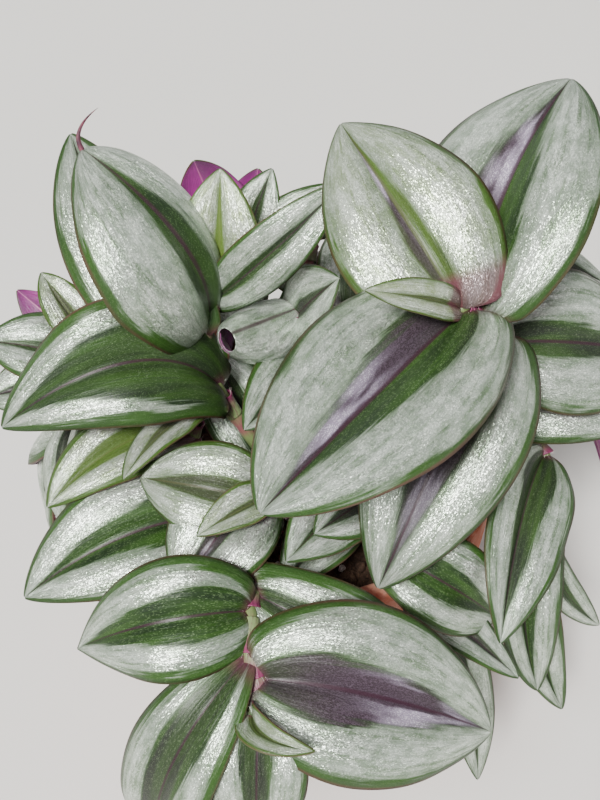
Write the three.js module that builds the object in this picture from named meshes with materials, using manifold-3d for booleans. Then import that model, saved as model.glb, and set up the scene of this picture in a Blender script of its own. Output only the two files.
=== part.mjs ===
// Potted zebra-striped tradescantia: a round clay pot, its potting soil, and leafy stems.
// Millimetres, +Z up. The origin is the centre of the pot's underside, and the front is -Y.
import * as THREE from 'three';
import { mergeVertices } from 'three/addons/utils/BufferGeometryUtils.js';
import Module from 'manifold-3d';

const wasm = await Module();
wasm.setup();

// ---------------------------------------------------------------- driving dimensions
const POT_HEIGHT = 90;
const POT_BASE_RADIUS = 36;
const POT_RIM_RADIUS = 51.5;
const POT_WALL = 4;
const RIM_BAND_HEIGHT = 23; // the thicker collar round the top
const RIM_BAND_STEP = 4; // how far the collar stands out of the wall
const POT_FLOOR = 6;
const POT_EDGE = 1.5; // rounding of the foot and the rim
const BAND_BOTTOM = POT_HEIGHT - RIM_BAND_HEIGHT;
// The inside of the pot, as radius and height: at the floor, under the collar and at the rim.
const POT_INSIDE = [
  [POT_BASE_RADIUS - POT_WALL + 1, POT_FLOOR],
  [POT_RIM_RADIUS - RIM_BAND_STEP - POT_WALL, BAND_BOTTOM],
  [POT_RIM_RADIUS - POT_WALL - 1, POT_HEIGHT - POT_EDGE],
];
const DRAIN_HOLES = 4;
const DRAIN_RADIUS = 4;
const DRAIN_RING_RADIUS = 18;
const DRAIN_SIDES = 16;
const ROUND_SIDES = 36; // facets round the pot and the soil

const SOIL_TOP = 78; // where the soil meets the pot
const SOIL_CROWN = 4; // how much higher it is in the middle
const SOIL_FLAT_RADIUS = 30; // outside it the soil falls faster to the wall
const SEAT_GAP = 0.3; // clearance under the soil
const SIDE_GAP = 0.4; // clearance between the soil and the wall

const STEM_RADIUS = 2;
const STEM_SIDES = 6;
const STEM_STEPS = 10;
const HOLE_RADIUS = 2.6; // its flats stay clear of the stem's corners
const ROOT_GAP = 0.4; // under a stem's cut end

const BLADE_THICKNESS = 0.8;
const BASE_ROUNDING = 0.5; // exponent of the outline at the leaf's base
const ROOT_HALF_WIDTH = 0.5;
// Wide leaves have more rows along and more columns across than narrow ones.
const BLADE_GRIDS = [
  { from: 30, rows: [0, 0.1, 0.3, 0.55, 0.8, 1], columns: [-1, -0.5, 0, 0.5, 1] },
  { from: 18, rows: [0, 0.12, 0.4, 0.72, 1], columns: [-1, -0.5, 0, 0.5, 1] },
  { from: 0, rows: [0, 0.12, 0.4, 0.72, 1], columns: [-1, 0, 1] },
];

// A leaf's usual form; a leaf in the lists below states only what differs.
// wide: full width. arch and sway: how far the midrib bows up and sideways. turn: twist about
// its length. keel: how steeply the blade rises from the midrib. bend: how far it curves back
// down to the margin. furl: bend added towards the tip. point: how slender the tip is.
// droop: bend added to the right-hand half, fading towards the tip.
const USUAL_LEAF = {
  wide: 24, arch: 6, sway: 0, turn: 0, keel: 28, bend: 40, furl: 0, point: 0.8, droop: 0,
};

// ---------------------------------------------------------------- the leafy stems
// path: control points of the stem's curve, from its cut end in the soil to its growing tip.
// faces: the way the leaves' upper sides look. at: place along the stem, 0 to 1.
const LEAFY_STEMS = [
  {
    name: 'leafy_stem_crown',
    path: [[30, 4, 66], [36, 3, 108], [56, -5, 134], [33, -15, 147]],
    faces: [0, -0.6, 0.8],
    leaves: [
      { at: 1, tip: [12, -30, 164], wide: 9, arch: 2, turn: -2, keel: 34, bend: 35 },
      { at: 0.99, tip: [9, 22, 169], wide: 37, arch: 5, turn: -8, keel: 24, point: 0.85 },
      { at: 0.97, tip: [-7, -68, 145], wide: 41, arch: 2, turn: 12, bend: 45, point: 0.72 },
      { at: 0.9, tip: [60, 30, 176], wide: 46, turn: -30, keel: 26, sway: -2, point: 0.75 },
      { at: 0.72, tip: [17, -52, 99], wide: 36, arch: 9, turn: 6, keel: 22 },
      { at: 0.66, tip: [86, 5, 116], wide: 36, keel: 25 },
      { at: 0.42, tip: [83, -12, 112], wide: 26, keel: 25 },
    ],
  },
  {
    name: 'leafy_stem_left_high',
    path: [[-4, -4, 66], [-4, -8, 100], [-34, -4, 116], [-19, 10, 132]],
    faces: [0, -0.5, 0.86],
    leaves: [
      { at: 1, tip: [-18, 20, 159], wide: 21, arch: 2, keel: 25, bend: 20 },
      {
        at: 0.97, tip: [10, 12, 161], wide: 16, arch: 2, turn: 20, keel: 36, bend: 20, sway: 1, droop: 60,
      },
      {
        at: 0.88, tip: [-48, 18, 165], wide: 50, arch: 11, turn: 28, keel: 18, bend: 50, sway: -1,
        point: 0.7, droop: 100,
      },
      { at: 0.8, tip: [-56, 42, 155], wide: 30, arch: 4, turn: -10, keel: 30, bend: 30, sway: -4 },
      { at: 0.58, tip: [-68, -20, 116], wide: 32, arch: 12, turn: -20, sway: 9, face: [-0.1, -0.4, 0.9] },
      { at: 0.25, tip: [-24, 20, 104], wide: 22 },
    ],
  },
  {
    name: 'leafy_stem_middle',
    path: [[8, 6, 66], [6, 8, 95], [2, 8, 112], [-1, 9, 127]],
    faces: [0, -0.5, 0.86],
    leaves: [
      { at: 1, tip: [-16, -4, 131], wide: 38, arch: 0, keel: 0, bend: 60, furl: 110, point: 0.2 },
      { at: 0.95, tip: [9, 3, 141], wide: 16, arch: 1, keel: 25, bend: 30 },
      { at: 0.6, tip: [-13, -18, 113], wide: 20, arch: 5, keel: 25, bend: 30 },
    ],
  },
  {
    name: 'leafy_stem_left_back',
    path: [[-12, 24, 66], [-14, 26, 95], [-10, 34, 112], [-17, 38, 126]],
    faces: [0, -0.5, 0.86],
    leaves: [
      { at: 1, tip: [-27, 46, 145], wide: 20, arch: 4, turn: 180, keel: 25, bend: 30 },
      { at: 0.95, tip: [-11, 52, 139], wide: 18, arch: 4, turn: 180, keel: 25, bend: 30 },
      { at: 0.9, tip: [-7, 44, 144], wide: 15, arch: 2, keel: 25, bend: 30 },
      { at: 0.8, tip: [8, 40, 142], wide: 16, arch: 4, keel: 25, bend: 30 },
      { at: 0.6, tip: [-34, 30, 122] },
    ],
  },
  {
    name: 'leafy_stem_left',
    path: [[-28, 4, 66], [-38, 4, 92], [-50, 6, 100], [-52, 6, 121]],
    faces: [-0.1, -0.4, 0.9],
    leaves: [
      { at: 1, tip: [-62, 14, 134], wide: 12, arch: 2, keel: 30, bend: 20 },
      { at: 0.95, tip: [-71, 20, 124], wide: 14, arch: 3, turn: 180, keel: 25 },
      { at: 0.8, tip: [-77, 4, 121], wide: 22, arch: 5 },
      { at: 0.7, tip: [-77, -6, 111], wide: 22, arch: 5 },
    ],
  },
  {
    name: 'leafy_stem_left_trailing',
    path: [[-35, -5, 66], [-42, -5, 106], [-54, -2, 110], [-58, 2, 92]],
    faces: [-0.7, -0.1, 0.7],
    leaves: [
      { at: 1, tip: [-64, -10, 56] },
      { at: 0.95, tip: [-68, 22, 64], wide: 26 },
      { at: 0.8, tip: [-52, -26, 74], wide: 22 },
    ],
  },
  {
    name: 'leafy_stem_left_young',
    path: [[-24, -12, 66], [-26, -14, 92], [-28, -12, 100], [-25, -10, 109]],
    faces: [-0.2, -0.5, 0.84],
    leaves: [
      { at: 1, tip: [-39, -33, 113], wide: 12, arch: 3, turn: 18 },
      { at: 0.8, tip: [-58, -32, 102], wide: 20, arch: 5, sway: 4 },
    ],
  },
  {
    name: 'leafy_stem_left_front',
    path: [[-18, -22, 66], [-20, -26, 90], [-16, -32, 98], [-7, -35, 109]],
    faces: [-0.2, -0.5, 0.84],
    leaves: [
      { at: 1, tip: [-22, -47, 111], wide: 11, arch: 2, keel: 35, bend: 10 },
      { at: 0.95, tip: [-36, -29, 109], wide: 23, arch: 5, keel: 25 },
      { at: 0.85, tip: [-26, -52, 97], wide: 26 },
      { at: 0.5, tip: [-63, -47, 88], wide: 31, arch: 7, sway: 4 },
    ],
  },
  {
    name: 'leafy_stem_front',
    path: [[-6, -30, 66], [-8, -40, 100], [-14, -54, 110], [-8, -77, 95]],
    faces: [0, -0.5, 0.87],
    leaves: [
      { at: 1, tip: [3, -90, 101], wide: 9, arch: 3, keel: 45, bend: 0, sway: 4 },
      { at: 0.94, tip: [41, -75, 79], wide: 39, bend: 45, sway: -2 },
      { at: 0.985, tip: [-9, -96, 69], wide: 22, keel: 30, bend: 45 },
      { at: 0.87, tip: [-29, -86, 43], wide: 24, arch: 18, turn: 20, bend: 45 },
      {
        at: 0.72, tip: [-48, -62, 91], wide: 27, arch: 10, turn: -5, bend: 45, sway: 2, point: 1.05,
      },
      { at: 0.62, tip: [28, -58, 70], wide: 26, arch: 12, bend: 45 },
    ],
  },
  {
    name: 'leafy_stem_right_front',
    path: [[18, -26, 66], [22, -32, 104], [24, -40, 109], [19, -42, 93]],
    faces: [0.1, -0.6, 0.8],
    leaves: [
      { at: 0.9, tip: [46, -47, 79], wide: 22, arch: 4, keel: 30 },
      { at: 0.99, tip: [50, -60, 75], wide: 14, arch: 2, turn: -18, keel: 30 },
      { at: 0.85, tip: [44, -68, 40], wide: 16, arch: 5, sway: -4 },
    ],
  },
  {
    name: 'leafy_stem_inner',
    path: [[6, -16, 66], [10, -22, 92], [14, -26, 104], [16, -30, 102]],
    faces: [0, -0.5, 0.86],
    leaves: [
      { at: 1, tip: [3, -42, 105], wide: 17, arch: 3 },
      { at: 0.9, tip: [-4, -48, 96], wide: 18, arch: 4 },
      { at: 0.8, tip: [7, -20, 112], wide: 20, arch: 5 },
      { at: 0.6, tip: [-3, -50, 106], wide: 20, arch: 5 },
    ],
  },
  {
    name: 'leafy_stem_trailing',
    path: [[33, -10, 66], [42, -8, 107], [72, -10, 109], [55, -24, 88]],
    faces: [0.2, -0.8, 0.6],
    leaves: [
      { at: 1, tip: [69, -48, 38], wide: 16, arch: 4, turn: 10, keel: 45, sway: 4 },
      { at: 0.9, tip: [59, -52, 55], wide: 21, arch: 4, turn: -6, keel: 45, sway: 7 },
      { at: 0.98, tip: [80, -30, 50], wide: 10, arch: 4, keel: 30, sway: 4 },
      { at: 0.7, tip: [44, -59, 88], wide: 25, arch: 3, sway: 4, keel: 42 },
    ],
  },
  {
    name: 'leafy_stem_back_left',
    path: [[-26, 18, 66], [-34, 26, 100], [-44, 38, 116], [-54, 50, 116]],
    faces: [-0.5, 0.5, 0.7],
    leaves: [
      { at: 1, tip: [-58, 74, 82], wide: 20 },
      { at: 0.95, tip: [-42, 78, 100] },
      { at: 0.85, tip: [-58, 42, 108], wide: 20, arch: 5 },
      { at: 0.7, tip: [-30, 66, 122] },
      { at: 0.55, tip: [-66, 52, 76], wide: 26, arch: 8 },
    ],
  },
  {
    name: 'leafy_stem_back_trailing',
    path: [[-14, 34, 66], [-18, 40, 108], [-24, 56, 114], [-30, 62, 98]],
    faces: [-0.3, 0.7, 0.65],
    leaves: [
      { at: 1, tip: [-34, 80, 58], wide: 26 },
      { at: 0.95, tip: [-54, 62, 62] },
      { at: 0.85, tip: [-12, 80, 78] },
      { at: 0.6, tip: [-22, 62, 124], wide: 20, arch: 5 },
    ],
  },
  {
    name: 'leafy_stem_back',
    path: [[0, 30, 66], [0, 36, 98], [2, 48, 112], [4, 62, 114]],
    faces: [0, 0.6, 0.8],
    leaves: [
      { at: 1, tip: [4, 96, 92], wide: 26 },
      { at: 0.95, tip: [-24, 84, 96] },
      { at: 0.85, tip: [30, 80, 104], wide: 26 },
      { at: 0.65, tip: [6, 88, 66], wide: 28, arch: 8 },
    ],
  },
  {
    name: 'leafy_stem_back_right',
    path: [[28, 22, 66], [32, 28, 100], [42, 38, 124], [48, 50, 126]],
    faces: [0.4, 0.5, 0.76],
    leaves: [
      { at: 1, tip: [60, 84, 110], wide: 28 },
      { at: 0.95, tip: [84, 62, 122], wide: 28 },
      { at: 0.85, tip: [30, 72, 130], wide: 26 },
      { at: 0.65, tip: [84, 36, 112], wide: 28, face: [0.3, 0, 1] },
    ],
  },
  {
    name: 'leafy_stem_back_right_trailing',
    path: [[16, 31, 66], [20, 34, 112], [34, 54, 116], [40, 60, 100]],
    faces: [0.4, 0.6, 0.7],
    leaves: [
      { at: 1, tip: [42, 86, 62], wide: 26 },
      { at: 0.95, tip: [68, 62, 72] },
      { at: 0.85, tip: [20, 84, 76], wide: 22 },
    ],
  },
  {
    name: 'leafy_stem_centre',
    path: [[18, 12, 66], [18, 12, 90], [14, 14, 104], [14, 18, 116]],
    faces: [0, 0.2, 1],
    leaves: [
      { at: 1, tip: [20, 50, 126] },
      { at: 0.9, tip: [-6, 42, 110] },
      { at: 0.8, tip: [30, -16, 112] },
      { at: 0.6, tip: [24, -18, 94], wide: 18 },
    ],
  },
  {
    name: 'leafy_stem_right',
    path: [[34, 9, 66], [40, 12, 112], [62, 18, 116], [76, 22, 96]],
    faces: [0.6, 0.2, 0.76],
    leaves: [
      { at: 1, tip: [104, 30, 74], wide: 26 },
      { at: 0.9, tip: [96, 4, 84] },
      { at: 0.7, tip: [78, 56, 76], wide: 26, arch: 7 },
      { at: 0.5, tip: [92, 22, 52], wide: 26, arch: 8 },
    ],
  },
];

// ---------------------------------------------------------------- solids and meshes
function toSolid(geometry) {
  const bare = geometry.clone();
  bare.deleteAttribute('normal');
  bare.deleteAttribute('uv');
  const merged = mergeVertices(bare, 1e-4);
  return new wasm.Manifold(new wasm.Mesh({
    numProp: 3,
    vertProperties: new Float32Array(merged.attributes.position.array),
    triVerts: new Uint32Array(merged.index.array),
  }));
}

// The largest body of a join: a loose scrap or the shell of a sealed hollow is left out.
function mainBody(solid) {
  const bodies = solid.decompose();
  return bodies.reduce((largest, body) => (body.volume() > largest.volume() ? body : largest));
}

function toGeometry(solid) {
  const mesh = solid.getMesh();
  const geometry = new THREE.BufferGeometry();
  geometry.setAttribute('position', new THREE.BufferAttribute(mesh.vertProperties, 3));
  geometry.setIndex(new THREE.BufferAttribute(mesh.triVerts, 1));
  geometry.computeVertexNormals();
  return geometry;
}

function turnedSolid(profile) {
  const points = profile.map(([radius, height]) => new THREE.Vector2(radius, height));
  const geometry = new THREE.LatheGeometry(points, ROUND_SIDES);
  geometry.rotateX(Math.PI / 2);
  return toSolid(geometry);
}

// ---------------------------------------------------------------- the pot
function makePot() {
  const underCollar = POT_RIM_RADIUS - 1 - RIM_BAND_STEP;
  let pot = turnedSolid([
    [0, 0],
    [POT_BASE_RADIUS - POT_EDGE, 0],
    [POT_BASE_RADIUS, POT_EDGE],
    [underCollar, BAND_BOTTOM],
    [POT_RIM_RADIUS - 1, BAND_BOTTOM + 1],
    [POT_RIM_RADIUS, POT_HEIGHT - POT_EDGE],
    [POT_RIM_RADIUS - POT_EDGE, POT_HEIGHT],
    [POT_RIM_RADIUS - POT_WALL, POT_HEIGHT],
    ...POT_INSIDE.toReversed(),
    [0, POT_FLOOR],
  ]);
  for (let i = 0; i < DRAIN_HOLES; i += 1) {
    const angle = ((i + 0.5) * 2 * Math.PI) / DRAIN_HOLES;
    const hole = new THREE.CylinderGeometry(DRAIN_RADIUS, DRAIN_RADIUS, 3 * POT_FLOOR, DRAIN_SIDES);
    hole.rotateX(Math.PI / 2);
    hole.translate(DRAIN_RING_RADIUS * Math.cos(angle), DRAIN_RING_RADIUS * Math.sin(angle), 0);
    pot = pot.subtract(toSolid(hole));
  }
  return pot;
}

// The inner radius of the wall above the collar's lower edge.
function collarInside(height) {
  const [, [lowRadius, low], [highRadius, high]] = POT_INSIDE;
  return THREE.MathUtils.mapLinear(height, low, high, lowRadius, highRadius);
}

// ---------------------------------------------------------------- a stem
function stemCurve(path) {
  return new THREE.CubicBezierCurve3(...path.map((point) => new THREE.Vector3(...point)));
}

function makeTube(curve, radius) {
  const section = new THREE.Shape();
  for (let i = 0; i < STEM_SIDES; i += 1) {
    const angle = (i * 2 * Math.PI) / STEM_SIDES;
    const place = [radius * Math.cos(angle), radius * Math.sin(angle)];
    if (i === 0) section.moveTo(...place);
    else section.lineTo(...place);
  }
  section.closePath();
  const tube = new THREE.ExtrudeGeometry(section, { steps: STEM_STEPS, extrudePath: curve });
  return toSolid(tube);
}

// The hole that a stem stands in follows the same curve, and starts just under its cut end.
function makeStemHole(path) {
  const start = new THREE.Vector3(...path[0]);
  const down = start.clone().sub(new THREE.Vector3(...path[1])).setLength(ROOT_GAP);
  const lowered = [start.add(down).toArray(), ...path.slice(1)];
  return makeTube(stemCurve(lowered), HOLE_RADIUS);
}

// ---------------------------------------------------------------- a leaf
// Half a blade's cross-section is an arc of constant curvature: it leaves the midrib at the
// keel angle and has turned down by the bend angle when it reaches the margin.
function crossSection(across, keelDegrees, bendDegrees) {
  const keel = THREE.MathUtils.degToRad(keelDegrees);
  const bend = THREE.MathUtils.degToRad(Math.abs(bendDegrees) < 1e-3 ? 1e-3 : bendDegrees);
  const sideways = (Math.sin(keel) - Math.sin(keel - bend * across)) / bend;
  const upwards = (Math.cos(keel - bend * across) - Math.cos(keel)) / bend;
  return [sideways, upwards];
}

function halfWidth(along, wide, point) {
  const widest = BASE_ROUNDING / (BASE_ROUNDING + point);
  const v = THREE.MathUtils.clamp(along, 1e-6, 1 - 1e-6);
  const outline = (v / widest) ** BASE_ROUNDING * ((1 - v) / (1 - widest)) ** point;
  return Math.max((outline * wide) / 2, ROOT_HALF_WIDTH);
}

// The blade's middle surface: a point and its normal for each row and column.
function bladeSurface(leaf, base, faces, { rows, columns }) {
  const tip = new THREE.Vector3(...leaf.tip);
  const chord = tip.clone().sub(base);
  const along = chord.clone().normalize();
  const up = new THREE.Vector3(...(leaf.face ?? faces)).normalize();
  up.addScaledVector(along, -up.dot(along)).normalize();
  up.applyAxisAngle(along, THREE.MathUtils.degToRad(leaf.turn));
  const side = along.clone().cross(up);

  const midrib = (v) => {
    const w = THREE.MathUtils.clamp(v, 1e-9, 1) ** 0.8;
    const bow = 4 * w * (1 - w);
    return base.clone().addScaledVector(chord, Math.min(v, 1))
      .addScaledVector(up, leaf.arch * bow)
      .addScaledVector(side, leaf.sway * bow);
  };

  return rows.map((v) => {
    const middle = midrib(v);
    const forward = midrib(v + 1e-4).sub(midrib(v - 1e-4)).normalize();
    const raised = side.clone().cross(forward).normalize();
    const across = forward.clone().cross(raised);
    const half = halfWidth(v, leaf.wide, leaf.point);
    return columns.map((u) => {
      const drooped = u > 0 ? leaf.droop * (1 - v * v) : 0;
      const bend = leaf.bend + leaf.furl * v + drooped;
      const [sideways, upwards] = crossSection(Math.abs(u), leaf.keel, bend);
      return middle.clone()
        .addScaledVector(across, Math.sign(u) * sideways * half)
        .addScaledVector(raised, upwards * half);
    });
  });
}

// Central differences on the grid give each point's normal.
function gridNormal(surface, i, j) {
  const rows = surface.length - 1;
  const columns = surface[0].length - 1;
  const down = surface[Math.min(i + 1, rows)][j].clone().sub(surface[Math.max(i - 1, 0)][j]);
  const right = surface[i][Math.min(j + 1, columns)].clone().sub(surface[i][Math.max(j - 1, 0)]);
  return right.cross(down).normalize();
}

// Both faces are split along the same diagonals, and the last row closes in one point.
function makeBlade(leaf, base, faces) {
  const grid = BLADE_GRIDS.find(({ from }) => leaf.wide >= from);
  const surface = bladeSurface(leaf, base, faces, grid);
  const lastRow = grid.rows.length - 1;
  const lastColumn = grid.columns.length - 1;
  const middleColumn = lastColumn / 2;
  const positions = [];
  const addFace = (side) => surface.map((row, i) => {
    if (i === lastRow) {
      const normal = gridNormal(surface, i - 1, middleColumn);
      const point = row[middleColumn].clone().addScaledVector(normal, (side * BLADE_THICKNESS) / 2);
      positions.push(...point.toArray());
      return row.map(() => positions.length / 3 - 1);
    }
    return row.map((middle, j) => {
      const normal = gridNormal(surface, i, j);
      positions.push(...middle.clone().addScaledVector(normal, (side * BLADE_THICKNESS) / 2).toArray());
      return positions.length / 3 - 1;
    });
  });
  const top = addFace(1);
  const under = addFace(-1);

  const triangles = [];
  const addTriangle = (a, b, c) => {
    if (a !== b && b !== c && c !== a) triangles.push(a, b, c);
  };
  const addQuad = (a, b, c, d) => {
    addTriangle(a, b, c);
    addTriangle(a, c, d);
  };
  for (let i = 0; i < lastRow; i += 1) {
    for (let j = 0; j < lastColumn; j += 1) {
      addQuad(top[i][j], top[i][j + 1], top[i + 1][j + 1], top[i + 1][j]);
      addTriangle(under[i][j], under[i + 1][j + 1], under[i][j + 1]);
      addTriangle(under[i][j], under[i + 1][j], under[i + 1][j + 1]);
    }
    addQuad(top[i][0], top[i + 1][0], under[i + 1][0], under[i][0]);
    addQuad(top[i + 1][lastColumn], top[i][lastColumn], under[i][lastColumn], under[i + 1][lastColumn]);
  }
  for (let j = 0; j < lastColumn; j += 1) {
    addQuad(top[0][j + 1], top[0][j], under[0][j], under[0][j + 1]);
  }

  const blade = new THREE.BufferGeometry();
  blade.setAttribute('position', new THREE.Float32BufferAttribute(positions, 3));
  blade.setIndex(triangles);
  return toSolid(blade);
}

// ---------------------------------------------------------------- a leafy stem
function makeLeafyStem({ path, faces, leaves }) {
  const curve = stemCurve(path);
  let plant = makeTube(curve, STEM_RADIUS);
  for (const leaf of leaves) {
    const blade = makeBlade({ ...USUAL_LEAF, ...leaf }, curve.getPoint(leaf.at), faces);
    plant = plant.add(blade);
  }
  return mainBody(plant);
}

// ---------------------------------------------------------------- the potting soil
function makeSoil() {
  const [[floorRadius], [bandRadius]] = POT_INSIDE;
  let soil = turnedSolid([
    [0, POT_FLOOR + SEAT_GAP],
    [floorRadius - SIDE_GAP, POT_FLOOR + SEAT_GAP],
    [bandRadius - SIDE_GAP, BAND_BOTTOM],
    [collarInside(SOIL_TOP) - SIDE_GAP, SOIL_TOP],
    [SOIL_FLAT_RADIUS, SOIL_TOP + 0.7 * SOIL_CROWN],
    [0, SOIL_TOP + SOIL_CROWN],
  ]);
  for (const { path } of LEAFY_STEMS) {
    soil = soil.subtract(makeStemHole(path));
  }
  return mainBody(soil);
}

// ---------------------------------------------------------------- the assembly
const clay = new THREE.MeshStandardMaterial({ color: 0xb5653f, roughness: 0.9, metalness: 0 });
const peat = new THREE.MeshStandardMaterial({ color: 0x33241a, roughness: 1, metalness: 0 });

function namedMesh(name, solid, material) {
  const mesh = new THREE.Mesh(toGeometry(solid), material);
  mesh.name = name;
  return mesh;
}

const plant = new THREE.Group();
plant.name = 'potted_tradescantia';
plant.add(namedMesh('pot', makePot(), clay));
plant.add(namedMesh('potting_soil', makeSoil(), peat));
for (const stem of LEAFY_STEMS) {
  const foliage = new THREE.MeshStandardMaterial({ color: 0x9aae94, roughness: 0.45, metalness: 0 });
  plant.add(namedMesh(stem.name, makeLeafyStem(stem), foliage));
}

export default plant;
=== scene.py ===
from dataclasses import dataclass
import math
import random

import bpy
import numpy as np
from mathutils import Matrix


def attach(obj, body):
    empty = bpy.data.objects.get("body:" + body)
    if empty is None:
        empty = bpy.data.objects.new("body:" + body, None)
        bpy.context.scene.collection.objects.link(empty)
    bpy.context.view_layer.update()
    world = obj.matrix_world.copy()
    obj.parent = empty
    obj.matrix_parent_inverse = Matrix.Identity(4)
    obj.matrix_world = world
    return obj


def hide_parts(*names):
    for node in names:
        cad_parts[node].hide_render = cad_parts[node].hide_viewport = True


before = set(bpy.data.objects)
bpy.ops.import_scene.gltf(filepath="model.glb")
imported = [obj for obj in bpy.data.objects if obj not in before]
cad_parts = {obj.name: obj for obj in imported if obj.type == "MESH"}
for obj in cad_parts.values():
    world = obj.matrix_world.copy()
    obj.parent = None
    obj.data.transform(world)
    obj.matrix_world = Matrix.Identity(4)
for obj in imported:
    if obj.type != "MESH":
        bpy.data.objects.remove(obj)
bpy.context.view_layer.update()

MM = 0.001  # turns the millimetres of the shapes into metres


# ============================================================ the pot
# A plain round pot of fired clay, turned on a wheel and left unglazed. The wall leans
# out to a thicker collar, the rim is rounded, and four holes in the floor drain it.
POT_HEIGHT = 90
POT_FOOT_RADIUS = 36
POT_RIM_RADIUS = 51.5
POT_COLLAR_BOTTOM = 67
POT_UNDER_COLLAR_RADIUS = 46.5
POT_WALL = 3
POT_RIM_WALL = 5
POT_EDGE = 1.5
POT_FLOOR = 6
POT_SIDES = 128
DRAIN_HOLES = 4
DRAIN_RADIUS = 4
DRAIN_RING_RADIUS = 18
DRAIN_SIDES = 32


def deselect_all():
    if bpy.context.object and bpy.context.object.mode != "OBJECT":
        bpy.ops.object.mode_set(mode="OBJECT")
    bpy.ops.object.select_all(action="DESELECT")


def select_only(piece):
    deselect_all()
    piece.select_set(True)
    bpy.context.view_layer.objects.active = piece


def apply_modifiers(piece):
    select_only(piece)
    for modifier in list(piece.modifiers):
        bpy.ops.object.modifier_apply(modifier=modifier.name)


def smooth(piece, degrees):
    select_only(piece)
    bpy.ops.object.shade_smooth_by_angle(angle=math.radians(degrees))


def edit_whole():
    bpy.ops.object.mode_set(mode="EDIT")
    bpy.ops.mesh.select_all(action="SELECT")


def end_edit():
    """Turns every face outwards and leaves edit mode."""
    bpy.ops.mesh.select_all(action="SELECT")
    bpy.ops.mesh.normals_make_consistent(inside=False)
    bpy.ops.object.mode_set(mode="OBJECT")


def turned_shape(name, sides, rings):
    """A shape on the z axis, in edit mode. rings holds radii and heights, the closed end first."""
    radius, height = rings[0]
    deselect_all()
    bpy.ops.mesh.primitive_circle_add(vertices=sides, radius=radius * MM, fill_type="NGON",
                                      location=(0, 0, height * MM))
    piece = bpy.context.object
    piece.name = name
    bpy.ops.object.transform_apply(location=True, rotation=True, scale=True)
    edit_whole()
    for next_radius, next_height in rings[1:]:
        rise = (0, 0, (next_height - height) * MM)
        bpy.ops.mesh.extrude_region_move(TRANSFORM_OT_translate={"value": rise})
        share = next_radius / radius
        bpy.ops.transform.resize(value=(share, share, 1))
        radius, height = next_radius, next_height
    return piece


def srgb(red, green, blue):
    """A colour given as 0 to 255, as the linear values that a shader takes."""
    linear = []
    for value in (red, green, blue):
        value /= 255
        linear.append(value / 12.92 if value <= 0.04045 else ((value + 0.055) / 1.055) ** 2.4)
    return (*linear, 1)


def new_finish(name, roughness, specular):
    """A material with its node tree and its surface shader."""
    finish = bpy.data.materials.new(name)
    finish.use_nodes = True
    shader = finish.node_tree.nodes["Principled BSDF"]
    shader.inputs["Roughness"].default_value = roughness
    shader.inputs["Specular IOR Level"].default_value = specular
    return finish, finish.node_tree, shader


def feed(tree, socket, value):
    """Joins another node's output to a socket, or sets a plain value on it."""
    if isinstance(value, bpy.types.NodeSocket):
        tree.links.new(value, socket)
    else:
        socket.default_value = value


def calculate(tree, operation, first, second=0.0):
    node = tree.nodes.new("ShaderNodeMath")
    node.operation = operation
    feed(tree, node.inputs[0], first)
    feed(tree, node.inputs[1], second)
    return node.outputs[0]


def times(tree, first, *others):
    for other in others:
        first = calculate(tree, "MULTIPLY", first, other)
    return first


def total(tree, first, *others):
    for other in others:
        first = calculate(tree, "ADD", first, other)
    return first


def vector_math(tree, operation, *terms):
    node = tree.nodes.new("ShaderNodeVectorMath")
    node.operation = operation
    for socket, term in zip(node.inputs, terms):
        feed(tree, socket, term)
    return node.outputs["Value" if operation == "LENGTH" else "Vector"]


def stretched(tree, place, scale):
    return vector_math(tree, "MULTIPLY", place, scale)


def split(tree, vector):
    """The three parts of a vector."""
    node = tree.nodes.new("ShaderNodeSeparateXYZ")
    feed(tree, node.inputs[0], vector)
    return node.outputs


def fade(tree, value, start, end, low=0.0, high=1.0):
    """Goes smoothly from low to high while value goes from start to end."""
    node = tree.nodes.new("ShaderNodeMapRange")
    node.interpolation_type = "SMOOTHSTEP"
    for socket, entry in zip(node.inputs, (value, start, end, low, high)):
        feed(tree, socket, entry)
    return node.outputs[0]


def mix(tree, share, first, second):
    node = tree.nodes.new("ShaderNodeMix")
    node.data_type = "RGBA"
    feed(tree, node.inputs[0], share)
    feed(tree, node.inputs[6], first)
    feed(tree, node.inputs[7], second)
    return node.outputs[2]


def noise(tree, place, scale, detail, roughness=0.5):
    node = tree.nodes.new("ShaderNodeTexNoise")
    feed(tree, node.inputs["Vector"], place)
    node.inputs["Scale"].default_value = scale
    node.inputs["Detail"].default_value = detail
    node.inputs["Roughness"].default_value = roughness
    return node.outputs[0]


def object_place(tree):
    return tree.nodes.new("ShaderNodeTexCoord").outputs["Object"]


def bump(tree, shader, height, distance, strength):
    node = tree.nodes.new("ShaderNodeBump")
    node.inputs["Distance"].default_value = distance
    node.inputs["Strength"].default_value = strength
    feed(tree, node.inputs["Height"], height)
    feed(tree, shader.inputs["Normal"], node.outputs[0])
    return node.outputs[0]


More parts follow.
